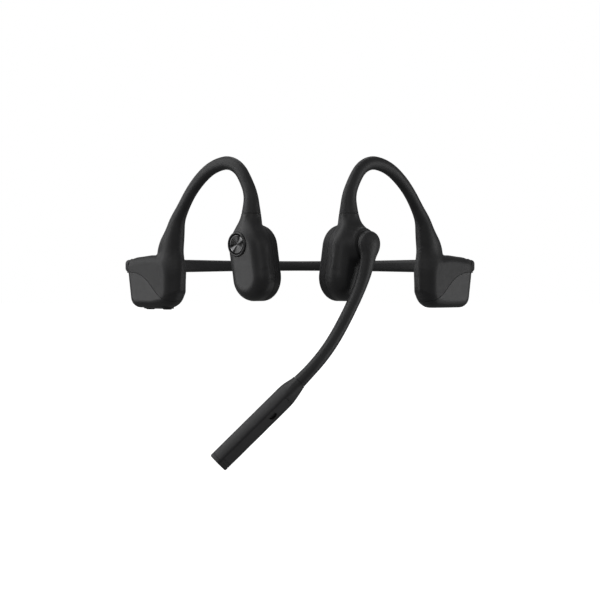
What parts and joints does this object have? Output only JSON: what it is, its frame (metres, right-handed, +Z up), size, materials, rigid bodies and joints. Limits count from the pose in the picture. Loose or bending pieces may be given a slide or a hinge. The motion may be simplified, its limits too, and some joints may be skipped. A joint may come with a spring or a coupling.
{
  "type": "bone conduction headphones",
  "caption": "Open-ear bone conduction headset: spring neckband, over-ear hooks, cheekbone transducers, rear pods and a swivelling boom microphone on the wearer's left.",
  "frame": {"origin": "midway between the two skin pads, level with the middle of the neckband", "axes": "+X to the wearer's left, +Y behind the head, +Z up; the wearer faces -Y"},
  "size_m": [0.1474, 0.1331, 0.1228],
  "materials": {
    "soft_skin": "matte soft silicone",
    "hard_cover": "fine matte",
    "skin_pad": "smooth matte silicone",
    "button_metal": "dark anodised, radially brushed",
    "ring_plastic": "satin",
    "boom_skin": "matte soft touch",
    "capsule_plastic": "fine matte",
    "mesh_metal": "dark woven mesh",
    "spring_wire": "titanium alloy",
    "cable_skin": "satin",
    "board": "solder mask",
    "chip": "moulded",
    "can_metal": "tinned",
    "cell_wrap": "foil wrap",
    "copper": "enamelled copper",
    "magnet_plate": "nickel plated",
    "yoke_steel": "plain",
    "pivot_steel": "turned",
    "bushing_plastic": "natural acetal",
    "pin_gold": "gold plated",
    "pad_rubber": "matte",
    "light_clear": "translucent"
  },
  "bodies": {
    "headset": {"left_ear_hook": "soft_skin", "right_ear_hook": "soft_skin", "left_hook_wire": "spring_wire", "right_hook_wire": "spring_wire", "left_hook_cable": "cable_skin", "right_hook_cable": "cable_skin", "neckband_sleeve": "soft_skin", "neckband_spring_wire": "spring_wire", "neckband_cable": "cable_skin", "left_pod_cover": "hard_cover", "right_pod_cover": "hard_cover", "battery_cell": "cell_wrap", "battery_board": "board", "tag_antenna": "copper", "main_board": "board", "shielding_can": "can_metal", "radio_chip": "chip", "left_transducer_shell": "hard_cover", "right_transducer_shell": "hard_cover", "left_transducer_cover": "skin_pad", "right_transducer_cover": "skin_pad", "left_vibration_plate": "yoke_steel", "right_vibration_plate": "yoke_steel", "left_voice_coil": "copper", "right_voice_coil": "copper", "left_drive_magnet": "magnet_plate", "right_drive_magnet": "magnet_plate", "left_drive_yoke": "yoke_steel", "right_drive_yoke": "yoke_steel", "multifunction_ring": "ring_plastic", "multifunction_switch": "chip", "multifunction_board": "board", "boom_seat_ring": "ring_plastic", "boom_bushing": "bushing_plastic", "boom_friction_washer": "bushing_plastic", "control_pad": "pad_rubber", "control_board": "board", "volume_switches": "chip", "charging_port": "ring_plastic", "charging_pins": "pin_gold", "charging_magnet": "magnet_plate", "status_light_pipe": "light_clear", "status_light": "light_clear"},
    "boom": {"microphone_shell": "capsule_plastic", "microphone_panel": "capsule_plastic", "microphone_mesh": "mesh_metal", "microphone_end_cap": "capsule_plastic", "microphone_board": "board", "microphone_elements": "chip", "boom_pivot_shaft": "pivot_steel", "boom_retaining_clip": "pivot_steel", "boom_hub": "capsule_plastic", "boom_arm": "boom_skin", "boom_spine_wire": "spring_wire", "boom_cable": "cable_skin"},
    "multifunction_key": {"multifunction_button": "button_metal"},
    "volume_up_key": {"volume_up_button": "pad_rubber"},
    "volume_down_key": {"volume_down_button": "pad_rubber"}
  },
  "joints": [
    {"name": "boom_swivel", "type": "hinge", "parent": "headset", "child": "boom", "pos_m": [0.02646, -0.00846, 0.0086], "axis": [-0.6884, 0.7254, 0], "range_deg": [-55, 215]},
    {"name": "multifunction_press", "type": "slide", "parent": "headset", "child": "multifunction_key", "axis": [0.6884, 0.7254, 0], "range_m": [0, 0.00045], "stiffness_N_per_m": 4000},
    {"name": "volume_up_press", "type": "slide", "parent": "headset", "child": "volume_up_key", "axis": [0, 0, 1], "range_m": [0, 0.00035], "stiffness_N_per_m": 4000},
    {"name": "volume_down_press", "type": "slide", "parent": "headset", "child": "volume_down_key", "axis": [0, 0, 1], "range_m": [0, 0.00035], "stiffness_N_per_m": 4000}
  ]
}
